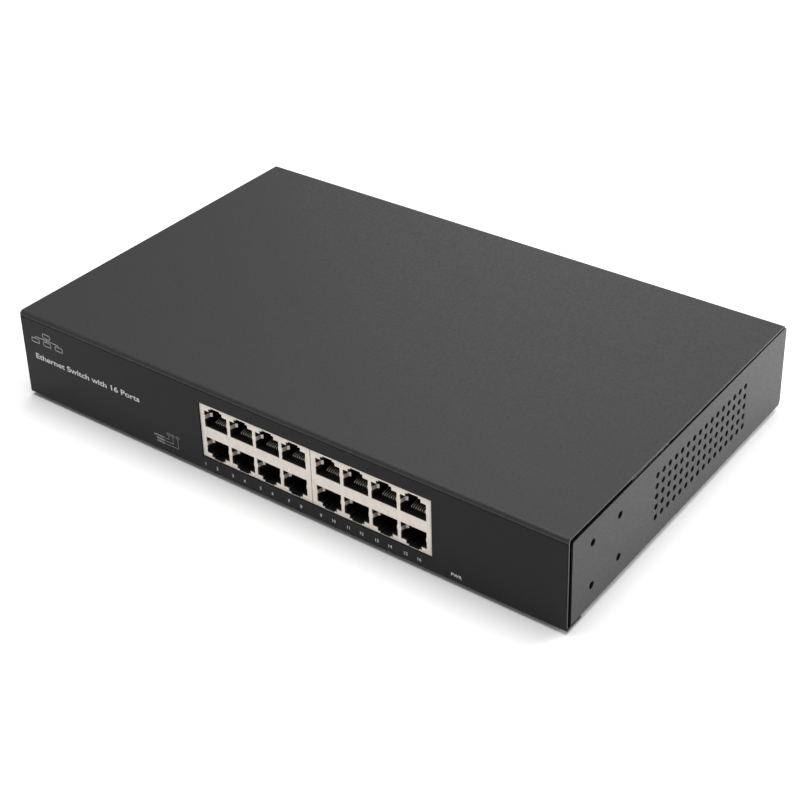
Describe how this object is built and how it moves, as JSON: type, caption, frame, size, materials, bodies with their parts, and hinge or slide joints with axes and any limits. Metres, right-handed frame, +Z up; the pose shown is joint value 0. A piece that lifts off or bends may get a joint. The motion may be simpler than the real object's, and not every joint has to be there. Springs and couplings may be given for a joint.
{
  "type": "desktop network switch",
  "caption": "Low steel-cased desktop network switch with two rows of shielded jacks, vented sides and a rear mains inlet.",
  "frame": {"origin": "bottom centre of the whole object, on the table, midway between the front film and the inlet flange", "axes": "+X to the right when facing the jacks, +Y from the front to the back, +Z up"},
  "size_m": [0.287, 0.1822, 0.0444],
  "materials": {
    "case_paint": "fine textured powder coat, dark grey",
    "front_film": "smooth dark printed film",
    "foot_rubber": "black rubber",
    "black_screws": "black oxide steel",
    "zinc_screws": "zinc plated steel",
    "shield_plating": "satin nickel plating",
    "socket_plastic": "black moulded plastic",
    "contact_gold": "gold flashed contact wire",
    "board_laminate": "green solder mask on glass laminate",
    "chip_epoxy": "black moulded epoxy",
    "pad_silicone": "grey silicone pad",
    "sink_aluminium": "extruded aluminium",
    "capacitor_can": "sleeved aluminium can",
    "ferrite": "dark sintered ferrite",
    "winding_tape": "yellow winding tape",
    "film_case": "yellow film capacitor case",
    "crystal_can": "metal can",
    "header_nylon": "natural nylon",
    "lamp_epoxy": "clear water-white epoxy",
    "insulating_film": "insulating film",
    "winding_copper": "enamelled copper winding",
    "fuse_glass": "glass tube",
    "inlet_plastic": "black moulded plastic",
    "blade_nickel": "nickel plated brass",
    "sleeve_vinyl": "translucent vinyl",
    "lead_brown": "brown insulated lead",
    "lead_blue": "blue insulated lead",
    "lead_earth": "green and yellow insulated lead",
    "lead_red": "red insulated lead",
    "lead_black": "black insulated lead"
  },
  "bodies": {
    "root": {"base_tray": "case_paint", "top_cover": "case_paint", "front_label": "front_film", "rubber_feet": "foot_rubber", "rear_cover_screws": "black_screws", "flange_screws": "black_screws", "port_shield_left": "shield_plating", "port_shield_right": "shield_plating", "port_housing_left": "socket_plastic", "port_housing_right": "socket_plastic", "port_contacts_left": "contact_gold", "port_contacts_right": "contact_gold", "main_board": "board_laminate", "board_standoffs": "contact_gold", "board_screws": "zinc_screws", "isolation_transformers": "chip_epoxy", "switch_chips": "chip_epoxy", "thermal_pads": "pad_silicone", "heat_sinks": "sink_aluminium", "board_capacitors": "capacitor_can", "power_inductors": "ferrite", "crystals": "crystal_can", "memory_chip": "chip_epoxy", "supply_headers": "header_nylon", "supply_plugs": "header_nylon", "port_lamps": "lamp_epoxy", "power_lamp": "lamp_epoxy", "psu_board": "board_laminate", "psu_insulator": "insulating_film", "psu_standoffs": "contact_gold", "psu_screws": "zinc_screws", "transformer_core": "ferrite", "transformer_bobbin": "winding_tape", "psu_bulk_capacitor": "capacitor_can", "psu_output_capacitors": "capacitor_can", "psu_film_capacitor": "film_case", "psu_choke": "winding_copper", "psu_fuse": "fuse_glass", "psu_heat_sink": "sink_aluminium", "psu_transistor": "chip_epoxy", "mains_plug": "header_nylon", "power_inlet": "inlet_plastic", "inlet_blades": "blade_nickel", "inlet_screws": "black_screws", "terminal_sleeves": "sleeve_vinyl", "earth_screw": "zinc_screws", "earth_washer": "zinc_screws", "earth_tag": "blade_nickel", "earth_nut": "zinc_screws", "live_lead": "lead_brown", "neutral_lead": "lead_blue", "earth_lead": "lead_earth", "positive_leads": "lead_red", "return_leads": "lead_black"}
  },
  "joints": []
}
